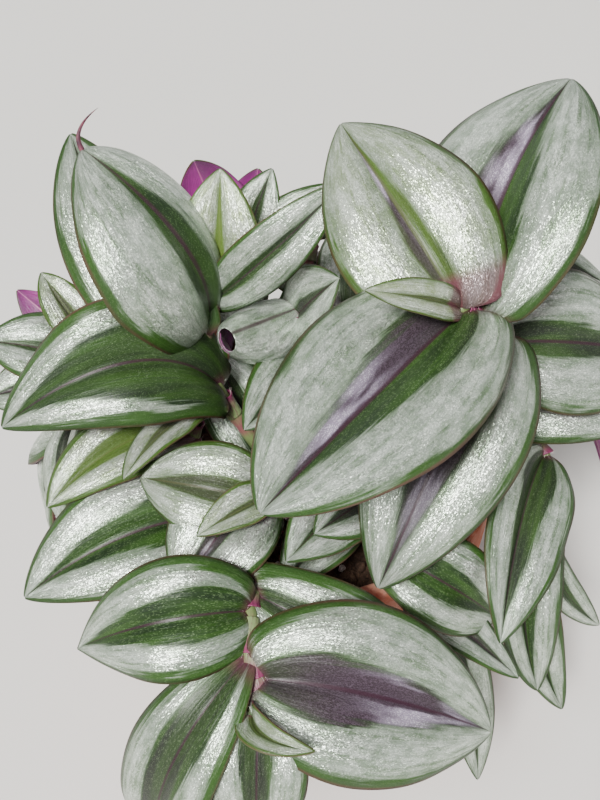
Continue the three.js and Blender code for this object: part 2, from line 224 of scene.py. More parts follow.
def fired_clay():
    finish, tree, shader = new_finish("fired_clay", 0.88, 0.3)
    place = object_place(tree)
    height = split(tree, place)["Z"]
    clouds = noise(tree, place, 28, 4)
    grain = noise(tree, place, 1500, 4, 0.7)
    throwing = noise(tree, stretched(tree, place, (6, 6, 520)), 1, 2)
    body = mix(tree, fade(tree, clouds, 0.35, 0.68), srgb(166, 92, 62), srgb(186, 114, 82))
    body = mix(tree, fade(tree, grain, 0.62, 0.78, 0, 0.55), body, srgb(146, 74, 48))

    # Pale salts have come out below the rim and at the foot.
    level = total(tree, height, times(tree, noise(tree, place, 60, 4), 0.03))
    bloom = fade(tree, level, 0.070, 0.106, 0, 0.6)
    foot = fade(tree, level, 0.036, 0.018, 0, 0.45)
    salts = times(tree, total(tree, bloom, foot),
                  fade(tree, noise(tree, place, 95, 5, 0.7), 0.40, 0.72))
    body = mix(tree, salts, body, srgb(214, 190, 168))

    # The inside of the collar is darkened above the soil: partly a soil stain, partly painted shade
    # in the hollow of the pot.
    radius = vector_math(tree, "LENGTH", stretched(tree, place, (1, 1, 0)))
    inside = times(tree, fade(tree, radius, 0.0482, 0.0470), fade(tree, height, 0.0675, 0.0685))
    stain_and_shade = times(tree, inside, fade(tree, level, 0.109, 0.099, 0, 0.85))
    feed(tree, shader.inputs["Base Color"], mix(tree, stain_and_shade, body, srgb(52, 36, 26)))
    relief = total(tree, times(tree, throwing, 0.6), times(tree, grain, 0.5))
    bump(tree, shader, relief, 0.0006, 0.7)
    return finish


pot = turned_shape("clay_pot", POT_SIDES, [
    (POT_FOOT_RADIUS - POT_EDGE, 0),
    (POT_FOOT_RADIUS, POT_EDGE),
    (POT_UNDER_COLLAR_RADIUS, POT_COLLAR_BOTTOM),
    (POT_RIM_RADIUS - 1, POT_COLLAR_BOTTOM + 1),
    (POT_RIM_RADIUS, POT_HEIGHT - POT_EDGE),
    (POT_RIM_RADIUS - 0.5, POT_HEIGHT - 0.4),
    (POT_RIM_RADIUS - POT_EDGE, POT_HEIGHT),
    (POT_RIM_RADIUS - POT_RIM_WALL + 1, POT_HEIGHT),
    (POT_RIM_RADIUS - POT_RIM_WALL, POT_HEIGHT - POT_EDGE),
    (POT_UNDER_COLLAR_RADIUS - POT_WALL, POT_COLLAR_BOTTOM),
    (POT_FOOT_RADIUS - POT_WALL, POT_FLOOR),
])
end_edit()
drain_cutters = []
for number in range(DRAIN_HOLES):
    angle = (number + 0.5) * 2 * math.pi / DRAIN_HOLES
    spot = (DRAIN_RING_RADIUS * math.cos(angle) * MM, DRAIN_RING_RADIUS * math.sin(angle) * MM, 0)
    bpy.ops.mesh.primitive_cylinder_add(
        vertices=DRAIN_SIDES, radius=DRAIN_RADIUS * MM, depth=4 * POT_FLOOR * MM, location=spot)
    drain_cutters.append(bpy.context.object)
    hole = pot.modifiers.new("drain_hole", "BOOLEAN")
    hole.object = bpy.context.object
    hole.solver = "EXACT"
soft_edges = pot.modifiers.new("soft_edges", "BEVEL")
soft_edges.width = 0.5 * MM
soft_edges.segments = 2
soft_edges.limit_method = "ANGLE"
soft_edges.angle_limit = math.radians(25)
apply_modifiers(pot)
for cutter in drain_cutters:
    bpy.data.objects.remove(cutter)
smooth(pot, 30)
pot.data.materials.append(fired_clay())
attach(pot, "root")
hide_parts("pot")


# ============================================================ the potting soil
# Damp peat and bark, filled in to a finger's width below the rim and heaped a little in
# the middle. Crumbs, bark chips and white mineral grains lie loose on top.
SOIL_BOTTOM = 6.4
SOIL_TOP = 78
SOIL_CROWN = 4
SOIL_FOOT_RADIUS = 32.5
SOIL_WAIST_RADIUS = 42.9
SOIL_RADIUS = 44.2
SOIL_SIDES = 96
SOIL_RINGS = 26
CRUMBS = 420
BARK_CHIPS = 60
GRAINS = 46


def peat():
    finish, tree, shader = new_finish("potting_soil", 0.95, 0.25)
    place = object_place(tree)
    clods = noise(tree, place, 240, 5, 0.65)
    crumbs = noise(tree, place, 1100, 4, 0.7)
    fibres = noise(tree, stretched(tree, place, (2400, 500, 900)), 1, 3)
    colour = mix(tree, fade(tree, clods, 0.3, 0.7), srgb(38, 27, 20), srgb(74, 54, 40))
    colour = mix(tree, fade(tree, fibres, 0.62, 0.75, 0, 0.6), colour, srgb(112, 84, 58))
    feed(tree, shader.inputs["Base Color"], colour)
    feed(tree, shader.inputs["Roughness"], fade(tree, clods, 0.35, 0.6, 0.98, 0.72))
    bump(tree, shader, total(tree, clods, times(tree, crumbs, 0.5)), 0.0015, 0.9)
    return finish


def grained(name, roughness, specular, scale, detail, dark, pale, distance, strength,
            fineness=0.5, start=0.35):
    """A plain material with a grain that is dark in its pits."""
    finish, tree, shader = new_finish(name, roughness, specular)
    grain = noise(tree, stretched(tree, object_place(tree), scale), 1, detail, fineness)
    colour = mix(tree, fade(tree, grain, start, 0.65), srgb(*dark), srgb(*pale))
    feed(tree, shader.inputs["Base Color"], colour)
    bump(tree, shader, grain, distance, strength)
    return finish


def soil_height(x, y):
    """Height of the soil's top in millimetres at a place in millimetres."""
    away = math.hypot(x, y) / SOIL_RADIUS
    heap = SOIL_CROWN * (1 - away * away)
    waves = 0.7 * math.sin(0.31 * x + 1.1) * math.cos(0.27 * y) + 0.4 * math.sin(0.9 * y + 0.5 * x)
    return SOIL_TOP + heap + waves * (1 - away ** 4)


soil = turned_shape("potting_soil_bed", SOIL_SIDES, [
    (SOIL_FOOT_RADIUS, SOIL_BOTTOM),
    (SOIL_WAIST_RADIUS, POT_COLLAR_BOTTOM),
    (SOIL_RADIUS, SOIL_TOP),
])
for _ in range(SOIL_RINGS - 1):
    bpy.ops.mesh.inset(thickness=SOIL_RADIUS / SOIL_RINGS * MM, use_even_offset=False)
bpy.ops.mesh.poke()
end_edit()
for vertex in soil.data.vertices:
    if vertex.co.z > (SOIL_TOP - 0.1) * MM:
        vertex.co.z = soil_height(vertex.co.x / MM, vertex.co.y / MM) * MM
smooth(soil, 50)
soil_material = peat()
soil.data.materials.append(soil_material)
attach(soil, "root")
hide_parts("potting_soil")


def copied(blank):
    piece = blank.copy()
    piece.data = blank.data.copy()
    bpy.context.collection.objects.link(piece)
    return piece


def joined(name, parts):
    deselect_all()
    for part in parts:
        part.select_set(True)
    bpy.context.view_layer.objects.active = parts[0]
    bpy.ops.object.join()
    piece = bpy.context.object
    piece.name = name
    return piece


def lump_blank():
    """One rough crumb, 1 mm across, that every loose crumb, chip and grain is copied from."""
    deselect_all()
    bpy.ops.mesh.primitive_ico_sphere_add(subdivisions=2, radius=0.5 * MM)
    blank = bpy.context.object
    dents = random.Random(4)
    for vertex in blank.data.vertices:
        vertex.co *= dents.uniform(0.78, 1.12)
    return blank


def strew(name, blank, count, sizes, flatness, seed, material):
    """Copies of a lump laid over the soil, joined to one piece."""
    draw = random.Random(seed)
    lumps = []
    for _ in range(count):
        away = (SOIL_RADIUS - 2.5) * math.sqrt(draw.random())
        turn = draw.uniform(0, 2 * math.pi)
        x = away * math.cos(turn)
        y = away * math.sin(turn)
        size = draw.uniform(*sizes)
        lump = copied(blank)
        lump.rotation_euler = (draw.uniform(-0.4, 0.4), draw.uniform(-0.4, 0.4), draw.uniform(0, 6.3))
        lump.scale = (size, size * draw.uniform(0.5, 1), size * flatness * draw.uniform(0.7, 1.1))
        lump.location = (x * MM, y * MM, (soil_height(x, y) + 0.2 * size * flatness) * MM)
        lumps.append(lump)
    piece = joined(name, lumps)
    bpy.ops.object.transform_apply(location=True, rotation=True, scale=True)
    smooth(piece, 40)
    piece.data.materials.append(material)
    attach(piece, "root")


mineral = grained("perlite", roughness=0.9, specular=0.3, scale=(1800, 1800, 1800), detail=4,
                  dark=(196, 188, 174), pale=(236, 232, 224), distance=0.0006, strength=0.8,
                  fineness=0.7, start=0.4)
crumb = lump_blank()
strew("soil_crumbs", crumb, CRUMBS, (1.2, 3.4), 0.75, 11, soil_material)
strew("soil_bark_chips", crumb, BARK_CHIPS, (3.0, 6.5), 0.3, 12, soil_material)
strew("soil_mineral_grains", crumb, GRAINS, (1.0, 2.4), 0.85, 13, mineral)
bpy.data.objects.remove(crumb)


# ============================================================ the leaves' and stems' finishes
# A blade's upper face has two silver bands between a dark midrib band and green margins. Its
# under face is magenta. The stems are pale green, flushed pink, with streaked sheaths and hairs.
WISPS = 13.0  # streaks on half a blade's width, and the finer ones
FINE_STREAKS = 38.0
SILVER_CELLS = 7.4  # to a millimetre


def combined(tree, *parts):
    """The vector that its parts make."""
    node = tree.nodes.new("ShaderNodeCombineXYZ")
    for socket, part in zip(node.inputs, parts):
        feed(tree, socket, part)
    return node.outputs[0]


def minus(tree, first, second):
    return calculate(tree, "SUBTRACT", first, second)


def vein_lines():
    """Fine streaks that run the length of a blade, a sheath or a stem, from about -0.3 to 0.3."""
    group = bpy.data.node_groups.new("vein_lines", "ShaderNodeTree")
    for name in ("Across", "Along", "Count"):
        group.interface.new_socket(name, in_out="INPUT", socket_type="NodeSocketFloat")
    group.interface.new_socket("Streaks", in_out="OUTPUT", socket_type="NodeSocketFloat")
    inside = group.nodes.new("NodeGroupInput").outputs
    outside = group.nodes.new("NodeGroupOutput")
    place = combined(group, times(group, inside["Across"], inside["Count"]),
                     times(group, inside["Along"], 3.5))
    streaks = minus(group, noise(group, place, 1.0, 3, 0.55), 0.5)
    feed(group, outside.inputs["Streaks"], streaks)
    return group


veins = vein_lines()


def streaks_of(tree, across, along, count):
    node = tree.nodes.new("ShaderNodeGroup")
    node.node_tree = veins
    for socket, value in zip(node.inputs, (across, along, count)):
        feed(tree, socket, value)
    return node.outputs[0]


def curve_of(tree, value, points):
    """A smooth curve through given points."""
    node = tree.nodes.new("ShaderNodeFloatCurve")
    curve = node.mapping.curves[0]
    while len(curve.points) < len(points):
        curve.points.new(0.5, 0.5)
    for point, place in zip(curve.points, points):
        point.location = place
    node.mapping.update()
    feed(tree, node.inputs["Value"], value)
    return node.outputs[0]


def blade_place(tree):
    """Across (-1 to 1, margin to margin) and along (0 at the base, 1 at the tip) of a blade."""
    uv = tree.nodes.new("ShaderNodeUVMap")
    uv.uv_map = "blade"
    parts = split(tree, uv.outputs[0])
    return minus(tree, times(tree, parts["X"], 2.0), 1.0), parts["Y"]


def stored_vector(tree, name):
    """Three values that a blade carries: how young it is and so on."""
    stored = tree.nodes.new("ShaderNodeAttribute")
    stored.attribute_name = name
    return split(tree, stored.outputs["Vector"])


def zebra_leaf():
    finish, tree, shader = new_finish("zebra_leaf", 0.42, 0.3)
    across, along = blade_place(tree)
    young, dark, seed = stored_vector(tree, "growth")
    green_edge, purple_side, middle = stored_vector(tree, "banding")
    half_width, length, _ = stored_vector(tree, "span")
    away = calculate(tree, "ABSOLUTE", across)

    # Streaks fray the edges of the stripes.
    drift = combined(tree, times(tree, across, 5.0), times(tree, along, 2.6), times(tree, seed, 37.0))
    broad = minus(tree, noise(tree, drift, 1.0, 2), 0.5)
    shifted = total(tree, along, times(tree, seed, 9.0))
    wisps = streaks_of(tree, across, shifted, WISPS)
    fine = streaks_of(tree, across, shifted, FINE_STREAKS)
    frayed = total(tree, times(tree, broad, 0.20), times(tree, wisps, 0.26), times(tree, fine, 0.16))
    ragged = total(tree, away, frayed)
    calmer = total(tree, away, times(tree, frayed, fade(tree, away, 0.0, 0.4, 0.3, 0.9)))

    # The dark band along the midrib, and the green margins.
    band = curve_of(tree, along, [(0, 0.36), (0.14, 0.40), (0.45, 0.32), (0.8, 0.17), (1, 0.03)])
    band = times(tree, band, fade(tree, middle, -0.5, 2, 0.02, 1.9))
    past_band = minus(tree, calmer, band)
    centre = fade(tree, past_band, 0.045, -0.045)
    edge = curve_of(tree, along, [(0, 0.62), (0.15, 0.20), (0.55, 0.15), (0.85, 0.17), (1, 0.45)])
    edge = times(tree, edge, fade(tree, green_edge, 0, 2, 0.55, 2.05))
    inset = minus(tree, total(tree, ragged, edge), 1.0)
    margin = fade(tree, inset, -0.04, 0.05)

    # The silver between them: cells that glint, in paler swathes, hazed with green at its edges.
    # White glints are painted on it as specks.
    blade_mm = combined(tree, times(tree, across, half_width), times(tree, along, length, 0.5),
                        times(tree, seed, 90.0))
    cells = tree.nodes.new("ShaderNodeTexVoronoi")
    cells.inputs["Scale"].default_value = SILVER_CELLS
    feed(tree, cells.inputs["Vector"], blade_mm)
    glints = tree.nodes.new("ShaderNodeSeparateColor")
    feed(tree, glints.inputs[0], cells.outputs["Color"])
    glint, other_glint, third_glint = glints.outputs
    patches = noise(tree, blade_mm, 0.45, 3, 0.6)
    silver = mix(tree, glint, srgb(118, 134, 114), srgb(166, 180, 163))
    silver = mix(tree, fade(tree, wisps, 0.0, 0.16, 0, 0.75), silver, srgb(90, 114, 80))
    silver = mix(tree, fade(tree, fine, 0.04, 0.16, 0, 0.5), silver, srgb(112, 136, 104))
    silver = mix(tree, times(tree, young, 0.6), silver, srgb(166, 182, 124))
    # Painted highlight: near-white glint specks put into the silver's colour.
    painted_glints = fade(tree, total(tree, other_glint, times(tree, patches, 0.9)), 1.0, 1.75)
    swathe = times(tree, fade(tree, patches, 0.36, 0.62, 0.1, 0.65),
                   fade(tree, wisps, 0.0, 0.14, 1, 0.45))
    silver = mix(tree, swathe, silver, srgb(206, 213, 204))
    silver = mix(tree, painted_glints, silver, srgb(246, 252, 242))
    haze = calculate(tree, "MAXIMUM", fade(tree, inset, -0.26, 0.0), fade(tree, past_band, 0.20, 0.0))
    silver = mix(tree, times(tree, haze, 0.45), silver, srgb(84, 108, 74))

    # The green of the band, and the purple over one or both halves of it, with a lilac sheen painted
    # on the purple towards the tip.
    green = mix(tree, fade(tree, broad, -0.2, 0.2), srgb(18, 35, 12), srgb(40, 68, 20))
    green = mix(tree, times(tree, young, 0.7), green, srgb(92, 114, 44))
    green = mix(tree, fade(tree, fine, 0.0, 0.2, 0, 0.5), green, srgb(20, 38, 19))
    # Painted highlight: pale glint specks scattered over the green band.
    green = mix(tree, fade(tree, third_glint, 0.8, 1.0, 0, 0.22), green, srgb(132, 158, 110))
    one_side = fade(tree, times(tree, across, purple_side), -0.03, 0.03)
    both_sides = calculate(tree, "LESS_THAN", calculate(tree, "ABSOLUTE", purple_side), 0.1)
    inner = fade(tree, minus(tree, calmer, times(tree, band, 0.88)), 0.06, -0.08)
    inner = times(tree, inner, dark, calculate(tree, "MAXIMUM", one_side, both_sides), curve_of(
        tree, along, [(0, 0.2), (0.14, 0.75), (0.4, 1.0), (0.8, 0.85), (1, 0.3)]))
    purple = mix(tree, fade(tree, third_glint, 0.2, 1.0, 0, 0.6), srgb(44, 32, 40), srgb(84, 70, 84))
    band_colour = mix(tree, inner, green, purple)
    # Painted sheen: a pale lilac reflection laid over the purple band.
    painted_lilac_sheen = curve_of(tree, along, [(0, 0), (0.35, 0.05), (0.62, 0.9), (0.85, 0.6), (1, 0)])
    painted_lilac_sheen = times(tree, painted_lilac_sheen, inner, fade(tree, broad, -0.04, 0.10), fade(tree, dark, 0.45, 0.9))
    lilac_sheen_colour = mix(tree, painted_glints, srgb(146, 134, 154), srgb(238, 232, 244))
    band_colour = mix(tree, painted_lilac_sheen, band_colour, lilac_sheen_colour)

    # The midrib, the thin dry rim and the red flush at the base lie over all of them.
    colour = mix(tree, centre, silver, band_colour)
    edge_green = mix(tree, 0.45, green, srgb(44, 76, 24))
    colour = mix(tree, margin, colour, edge_green)
    rib = fade(tree, away, 0.045, 0.012)
    rib_colour = mix(tree, young, srgb(48, 22, 36), srgb(84, 104, 40))
    colour = mix(tree, times(tree, rib, 0.8), colour, rib_colour)
    rim = times(tree, fade(tree, away, 0.955, 0.985), fade(tree, broad, -0.15, 0.15, 0.3, 0.8))
    colour = mix(tree, rim, colour, srgb(82, 50, 46))
    reddened = minus(tree, along, times(tree, young, 0.2))
    colour = mix(tree, fade(tree, reddened, 0.06, 0.0, 0, 0.65), colour, srgb(104, 32, 70))
    feed(tree, shader.inputs["Base Color"], colour)

    # Only the silver is glossy, and each of its cells faces its own way.
    covered = calculate(tree, "MAXIMUM", centre, margin)
    bare = times(tree, minus(tree, 1.0, covered), minus(tree, 1.0, rib))
    shine = times(tree, bare, fade(tree, glint, 0.1, 1.0, 0.45, 0.85))
    feed(tree, shader.inputs["Metallic"], shine)
    feed(tree, shader.inputs["Roughness"], fade(tree, bare, 0, 1, 0.42, 0.31))
    relief = total(tree, times(tree, wisps, 2.0), times(tree, glint, 0.5))
    relieved = bump(tree, shader, relief, 0.00016, 0.8)
    tilt = vector_math(tree, "SUBTRACT", cells.outputs["Color"], (0.5, 0.5, 0.5))
    tilt = stretched(tree, tilt, fade(tree, bare, 0, 1, 0.10, 0.44))
    faceted = vector_math(tree, "NORMALIZE", vector_math(tree, "ADD", relieved, tilt))
    feed(tree, shader.inputs["Normal"], faceted)
    shader.inputs["Coat Weight"].default_value = 0.08
    shader.inputs["Coat Roughness"].default_value = 0.28
    return finish


def lined(name, roughness, count, strength, mirrored=True):
    """A material with fine raised lines along the stem or blade, still to be coloured."""
    finish, tree, shader = new_finish(name, roughness, 0.5)
    across, along = blade_place(tree)
    away = calculate(tree, "ABSOLUTE", across)
    lines = streaks_of(tree, away if mirrored else across, along, count)
    bump(tree, shader, lines, 0.0003, strength)
    return finish, tree, shader, lines, away, along


def magenta_underside():
    finish, tree, shader, lines, away, _ = lined(
        "leaf_underside", roughness=0.4, count=26, strength=0.8, mirrored=False)
    clouds = noise(tree, object_place(tree), 90, 3)
    colour = mix(tree, fade(tree, clouds, 0.3, 0.7), srgb(98, 20, 86), srgb(146, 40, 124))
    colour = mix(tree, fade(tree, lines, 0.0, 0.2, 0, 0.5), colour, srgb(84, 14, 74))
    rib = fade(tree, away, 0.05, 0.015, 0, 0.6)
    feed(tree, shader.inputs["Base Color"], mix(tree, rib, colour, srgb(190, 110, 150)))
    shader.inputs["Sheen Weight"].default_value = 0.2
    return finish


def pale_stem():
    finish, tree, shader, lines, _, _ = lined("pale_stem", roughness=0.42, count=9, strength=0.7)
    flush = noise(tree, object_place(tree), 75, 3)
    colour = mix(tree, fade(tree, flush, 0.5, 0.7), srgb(104, 122, 74), srgb(122, 74, 76))
    colour = mix(tree, fade(tree, lines, 0.0, 0.2, 0, 0.5), colour, srgb(98, 44, 62))
    feed(tree, shader.inputs["Base Color"], colour)
    return finish


def streaked_sheath():
    finish, tree, shader, lines, _, along = lined(
        "streaked_sheath", roughness=0.45, count=16, strength=0.8)
    colour = mix(tree, fade(tree, along, 0.3, 0.95), srgb(112, 128, 84), srgb(112, 44, 76))
    colour = mix(tree, fade(tree, lines, -0.02, 0.16, 0, 0.7), colour, srgb(92, 20, 60))
    feed(tree, shader.inputs["Base Color"], colour)
    return finish


hair_skin = grained("pale_hair", roughness=0.5, specular=0.4, scale=(900, 900, 900), detail=2,
                    dark=(206, 198, 184), pale=(232, 214, 212), distance=0.00005, strength=0.5)
leaf_face = zebra_leaf()
leaf_under = magenta_underside()
stem_skin = pale_stem()
sheath_skin = streaked_sheath()


# ============================================================ the crown stem
# The tallest stem leans to the right and back over the rim, and bears the biggest leaves in a
# rosette round its tip. Each leaf's base is a sheath that wraps the stem above a joint.
STEM_RADIUS = 1.7
STEM_TIP_RADIUS = 1.0
JOINT_SWELLING = 0.35
JOINT_LENGTH = 2.0
SHEATH_LENGTH = 8.0
SHEATH_WALL = 0.25
SHEATH_GAP = 0.3  # between the stem and the middle of the sheath's wall
MOUTH_SLANT = 0.12
HAIRS = 14  # round each sheath
HAIR_RADIUS = 0.035
BLADE_THICKNESS = 0.42
BLADE_COLUMNS = 18
BLADE_ROWS = 48
BASE_ROUNDING = 0.5
ROOT_HALF_WIDTH = 0.5
TIP_HALF_WIDTH = 0.12
MARGIN_RIPPLE = 0.03
MARGIN_RIPPLES = 2.2
SOFT_FOLD = 0.5
SOFT_FOLDS = 1.4
GROOVE = 12
CROWN = 25
CLASP = 12
CLASP_PLACE = 0.07
LOBE_PLACE = 0.06
TIP_SHARE = 0.996
STEP = 1e-4


def gathered(t):
    """Moves evenly spaced places, 0 to 1, closer together at both ends."""
    return 0.4 * t + 0.3 * (1 - np.cos(math.pi * t))


def grid_blank(name, columns, rows):
    """A flat strip, 1 by 1, whose UV map says how far across and along each point is."""
    deselect_all()
    bpy.ops.mesh.primitive_grid_add(x_subdivisions=columns, y_subdivisions=rows, size=1)
    blank = bpy.context.object
    blank.name = name
    blank.data.uv_layers[0].name = "blade"
    for vertex in blank.data.vertices:
        vertex.co.y = gathered(vertex.co.y + 0.5) - 0.5
    for corner in blank.data.uv_layers[0].data:
        corner.uv.y = gathered(corner.uv.y)
    return blank


def points_of(blank):
    points = np.zeros(len(blank.data.vertices) * 3)
    blank.data.vertices.foreach_get("co", points)
    return points.reshape(-1, 3)


def blank_places(blank):
    """Across (-1 to 1) and along (0 to 1) of every point of a strip."""
    points = points_of(blank)
    return 2 * points[:, 0], points[:, 1] + 0.5


def laid_out(blank, points):
    """A copy of a blank with its points at these places, in millimetres."""
    piece = copied(blank)
    piece.data.vertices.foreach_set("co", (points * MM).ravel())
    piece.data.update()
    return piece


blade_blank = grid_blank("blade_blank", BLADE_COLUMNS, BLADE_ROWS)
tube_blank = grid_blank("tube_blank", columns=16, rows=64)
sheath_blank = grid_blank("sheath_blank", columns=20, rows=14)
deselect_all()
bpy.ops.mesh.primitive_cone_add(vertices=4, radius1=1, radius2=0, depth=1)
hair_blank = bpy.context.object
hair_blank.name = "hair_blank"


def unit(vector):
    return vector / np.linalg.norm(vector)


def units(vectors):
    return vectors / np.linalg.norm(vectors, axis=-1, keepdims=True)


def turned(vector, axis, degrees):
    angle = math.radians(degrees)
    return (vector * math.cos(angle) + np.cross(axis, vector) * math.sin(angle)
            + axis * (axis @ vector) * (1 - math.cos(angle)))


def on_curve(path, t):
    """Points of the stem's cubic curve."""
    start, first, second, end = (np.array(point, float) for point in path)
    t = np.asarray(t, float)[..., None]
    return ((1 - t) ** 3 * start + 3 * (1 - t) ** 2 * t * first
            + 3 * (1 - t) * t ** 2 * second + t ** 3 * end)


def heading(path, t):
    """Unit tangents of the stem's curve."""
    t = np.clip(np.asarray(t, float), STEP, 1 - STEP)
    return units(on_curve(path, t + STEP) - on_curve(path, t - STEP))


def round_the_stem(path, t, around, radius):
    """Points at a radius round the stem's curve. around is -1 to 1 for a full turn."""
    ahead = heading(path, t)
    every = heading(path, np.linspace(0, 1, 30))
    steady = np.eye(3)[np.argmin(np.abs(every).max(axis=0))]
    first = units(np.cross(ahead, steady))
    second = np.cross(ahead, first)
    angle = math.pi * around[:, None]
    return on_curve(path, t) + radius[:, None] * (np.cos(angle) * first + np.sin(angle) * second)


@dataclass
class Leaf:
    """One leaf, in millimetres, degrees and shares. Where dark, green or band is None, a random
    value is drawn."""
    at: float  # how far along its stem, 0 to 1
    tip: tuple
    wide: float = 24
    arch: float = 6  # bow of the midrib towards the upper face
    sway: float = 0  # and to the side
    turn: float = 0  # about the line from base to tip
    keel: float = 28  # how steeply the halves rise from the midrib
    bend: float = 40  # how far they curve back down to the margin
    furl: float = 0  # added bend towards the tip
    point: float = 0.8  # low for a blunt tip, high for a long one
    face: tuple = None  # where the upper face looks, if not where the stem's other leaves look
    roll_right: float = 0  # added bend of the right half towards the base
    lobe: float = 3  # how far the base reaches back beside the stem
    mouth: float = 0  # half width at the tip of a rolled leaf
    tuck: float = 0  # how much more its left half is furled
    wave: float = 0  # one fold in the right half
    young: float = 0
    dark: float = None  # purple in the midrib band
    side: float = 0  # the half that is purple: -1, 1, or 0 for both
    green: float = None  # width of the green margins
    band: float = None  # width of the midrib band


def blade_points(form, base, faces, across, along, seed):
    """Where each point of a blade lies, in millimetres."""
    along = along * TIP_SHARE
    chord = np.array(form.tip, float) - base
    length = np.linalg.norm(chord)
    forward = chord / length
    up = np.array(form.face or faces, float)
    up = unit(up - (up @ forward) * forward)
    up = turned(up, forward, form.turn)
    side = np.cross(forward, up)

    def midrib(v):
        bow_place = np.clip(v, 1e-9, 1) ** 0.8
        bow = (4 * bow_place * (1 - bow_place))[:, None]
        return base + v[:, None] * chord + bow * (form.arch * up + form.sway * side)

    ahead = units(midrib(along + STEP) - midrib(along - STEP))
    raised = units(np.cross(side, ahead))
    outward = np.cross(ahead, raised)

    widest = BASE_ROUNDING / (BASE_ROUNDING + form.point)
    v = np.clip(along, 1e-6, 1 - 1e-6)
    outline = (v / widest) ** BASE_ROUNDING * ((1 - v) / (1 - widest)) ** form.point
    opening = np.clip(2 * v - 1, 0, 1) ** 0.5 * form.mouth
    least = np.maximum(np.where(along > 0.5, TIP_HALF_WIDTH, ROOT_HALF_WIDTH), opening)
    half = np.maximum(outline * form.wide / 2, least)

    unrolled = 0 if form.furl else 1
    keel = np.radians(form.keel + unrolled * GROOVE + CLASP * np.exp(-(along / CLASP_PLACE) ** 2))
    rolled = np.where(across > 0, form.roll_right, 0) * (1 - v ** 2)
    furled = form.furl * along * np.where(across < 0, 1 + form.tuck, 1)
    bend = np.radians(form.bend + furled + unrolled * CROWN + rolled)
    bend = np.where(np.abs(bend) < 1e-3, 1e-3, bend)
    reach = np.abs(across)
    half_of = np.sign(across)
    sideways = (np.sin(keel) - np.sin(keel - bend * reach)) / bend
    upwards = (np.cos(keel - bend * reach) - np.cos(keel)) / bend
    ripple = np.sin(2 * math.pi * (MARGIN_RIPPLES * along + seed + 0.35 * half_of)) - 1
    upwards += MARGIN_RIPPLE * ripple * reach ** 3 * np.sin(math.pi * v)
    fold = np.where(across > 0, form.wave, 0) * np.sin(3 * math.pi * along)
    fold += SOFT_FOLD * np.sin(2 * math.pi * (SOFT_FOLDS * along + 3 * seed + 0.3 * half_of))
    fold *= reach ** 1.5 * np.sin(math.pi * v)
    back = form.lobe / length * reach ** 1.5 * (v / LOBE_PLACE) * np.exp(1 - v / LOBE_PLACE)
    return (midrib(along - back) + outward * (half_of * sideways * half)[:, None]
            + raised * (upwards * half + fold)[:, None])


def store_vector(piece, name, values):
    stored = piece.data.attributes.new(name, "FLOAT_VECTOR", "POINT")
    stored.data.foreach_set("vector", list(values) * len(piece.data.vertices))


def close_seams(piece):
    select_only(piece)
    edit_whole()
    bpy.ops.mesh.remove_doubles(threshold=0.00002)
    end_edit()


def make_stalk(node, path, leaves):
    """The stem itself, swollen at each joint, and closed at both ends."""
    around, along = blank_places(tube_blank)
    radius = STEM_RADIUS + (STEM_TIP_RADIUS - STEM_RADIUS) * along ** 3
    length = np.linalg.norm(np.diff(on_curve(path, np.linspace(0, 1, 40)), axis=0), axis=1).sum()
    for form in leaves:
        joint = form.at - SHEATH_LENGTH / length
        radius += JOINT_SWELLING * np.exp(-((along - joint) * length / JOINT_LENGTH) ** 2)
    end_round = np.clip(np.minimum(along, 1 - along) * length / STEM_TIP_RADIUS, 0, 1)
    radius *= np.sqrt(1 - (1 - end_round) ** 2)
    stalk = laid_out(tube_blank, round_the_stem(path, along, around, radius))
    close_seams(stalk)
    stalk.data.materials.append(stem_skin)
    stalk.name = node + "_stalk"
    return stalk, length


def sheath_places(form, around, along, length):
    """How far along the stem the points of a sheath lie. Its mouth slants down on one side."""
    slant = MOUTH_SLANT * (1 - np.cos(math.pi * around)) * along ** 2
    return np.clip(form.at + (along - 1 - slant) * SHEATH_LENGTH / length, 0.0, 1.0)


def make_sheaths(node, path, leaves, length):
    """The leaf bases, each a thin sleeve round the stem that flares a little at its mouth."""
    around, along = blank_places(sheath_blank)
    radius = STEM_RADIUS + SHEATH_GAP + 0.15 * along + 0.25 * along ** 4
    sheaths = []
    for form in leaves:
        t = sheath_places(form, around, along, length)
        sheaths.append(laid_out(sheath_blank, round_the_stem(path, t, around, radius)))
    piece = joined(node + "_sheaths", sheaths)
    close_seams(piece)
    wall = piece.modifiers.new("wall", "SOLIDIFY")
    wall.thickness = SHEATH_WALL * MM
    wall.offset = 0
    apply_modifiers(piece)
    piece.data.materials.append(sheath_skin)
    return piece


def make_hairs(node, path, leaves, length):
    """A fringe of fine pale hairs round the mouth of each leaf base."""
    draw = random.Random(node + "_hairs")
    corners = points_of(hair_blank)
    hairs = []
    for form in leaves:
        for number in range(HAIRS):
            around = np.array([2 * number / HAIRS - 1 + draw.uniform(-0.05, 0.05)])
            t = sheath_places(form, around, 1, length)
            root = round_the_stem(path, t, around, np.array([STEM_RADIUS + 0.6]))[0]
            ahead = heading(path, t)[0]
            outward = unit(root - on_curve(path, t)[0])
            lean_out = draw.uniform(0.1, 0.7)
            twist = draw.uniform(-0.3, 0.3)
            grows = unit(ahead + lean_out * outward + twist * np.cross(ahead, outward))
            first = unit(np.cross(grows, outward))
            second = np.cross(grows, first)
            size = draw.uniform(1.1, 2.0)
            places = (root + HAIR_RADIUS * (corners[:, :1] * first + corners[:, 1:2] * second)
                      + size * (corners[:, 2:] + 0.4) * grows)
            hairs.append(laid_out(hair_blank, places))
    piece = joined(node + "_hairs", hairs)
    piece.data.materials.append(hair_skin)
    return piece


def drawn(draw, given, low, high):
    return draw.uniform(low, high) if given is None else given


